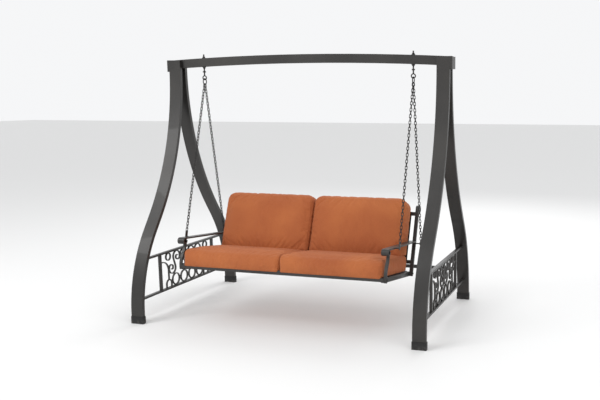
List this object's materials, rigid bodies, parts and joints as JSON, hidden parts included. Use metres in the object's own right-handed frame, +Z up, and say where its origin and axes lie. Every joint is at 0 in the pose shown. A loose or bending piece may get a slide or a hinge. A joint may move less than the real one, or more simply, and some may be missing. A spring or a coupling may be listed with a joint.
{
  "type": "glider swing",
  "caption": "Garden glider swing with curved legs, scrollwork side panels, a chain-hung bench and boxed cushions.",
  "frame": {"origin": "floor level, at the centre of the stand's footprint", "axes": "+X along the crossbeam, +Y to the back of the seat, +Z up"},
  "size_m": [2.136, 1.253, 1.846],
  "materials": {
    "frame_paint": "satin powder coat, dark bronze",
    "chain_steel": "darkened zinc",
    "fastener_steel": "darkened zinc",
    "boot_rubber": "matt",
    "cushion_fabric": "woven outdoor cloth, terracotta"
  },
  "bodies": {
    "stand": {"beam_cap_left": "frame_paint", "beam_cap_right": "frame_paint", "crossbeam": "frame_paint", "eyebolt_left": "fastener_steel", "eyebolt_nuts": "fastener_steel", "eyebolt_right": "fastener_steel", "eyebolt_washers": "fastener_steel", "foot_boot_front_left": "boot_rubber", "foot_boot_front_right": "boot_rubber", "foot_boot_rear_left": "boot_rubber", "foot_boot_rear_right": "boot_rubber", "front_leg_left": "frame_paint", "front_leg_right": "frame_paint", "leg_bolts": "fastener_steel", "leg_weld_nuts": "fastener_steel", "panel_bottom_rail_left": "frame_paint", "panel_bottom_rail_right": "frame_paint", "panel_post_front_left": "frame_paint", "panel_post_front_right": "frame_paint", "panel_post_rear_left": "frame_paint", "panel_post_rear_right": "frame_paint", "panel_scrollwork_left": "frame_paint", "panel_scrollwork_right": "frame_paint", "panel_top_rail_left": "frame_paint", "panel_top_rail_right": "frame_paint", "rear_leg_left": "frame_paint", "rear_leg_right": "frame_paint", "rear_stretcher": "frame_paint"},
    "swing_seat": {"arm_left": "frame_paint", "arm_post_left": "frame_paint", "arm_post_right": "frame_paint", "arm_right": "frame_paint", "back_cushion_left": "cushion_fabric", "back_cushion_right": "cushion_fabric", "back_low_rail": "frame_paint", "back_post_left": "frame_paint", "back_post_right": "frame_paint", "back_slats": "frame_paint", "back_top_rail": "frame_paint", "chain_front_left": "chain_steel", "chain_front_right": "chain_steel", "chain_lug_front_left": "frame_paint", "chain_lug_front_right": "frame_paint", "chain_lug_rear_left": "frame_paint", "chain_lug_rear_right": "frame_paint", "chain_rear_left": "chain_steel", "chain_rear_right": "chain_steel", "frame_bolts": "fastener_steel", "hanger_ring_left": "chain_steel", "hanger_ring_right": "chain_steel", "seat_cushion_left": "cushion_fabric", "seat_cushion_right": "cushion_fabric", "seat_front_rail": "frame_paint", "seat_rear_rail": "frame_paint", "seat_side_rail_left": "frame_paint", "seat_side_rail_right": "frame_paint", "seat_slats": "frame_paint"}
  },
  "joints": [
    {"name": "swing", "type": "hinge", "parent": "stand", "child": "swing_seat", "pos_m": [0, 0, 1.666], "axis": [1, 0, 0], "range_deg": [-25, 25]}
  ]
}
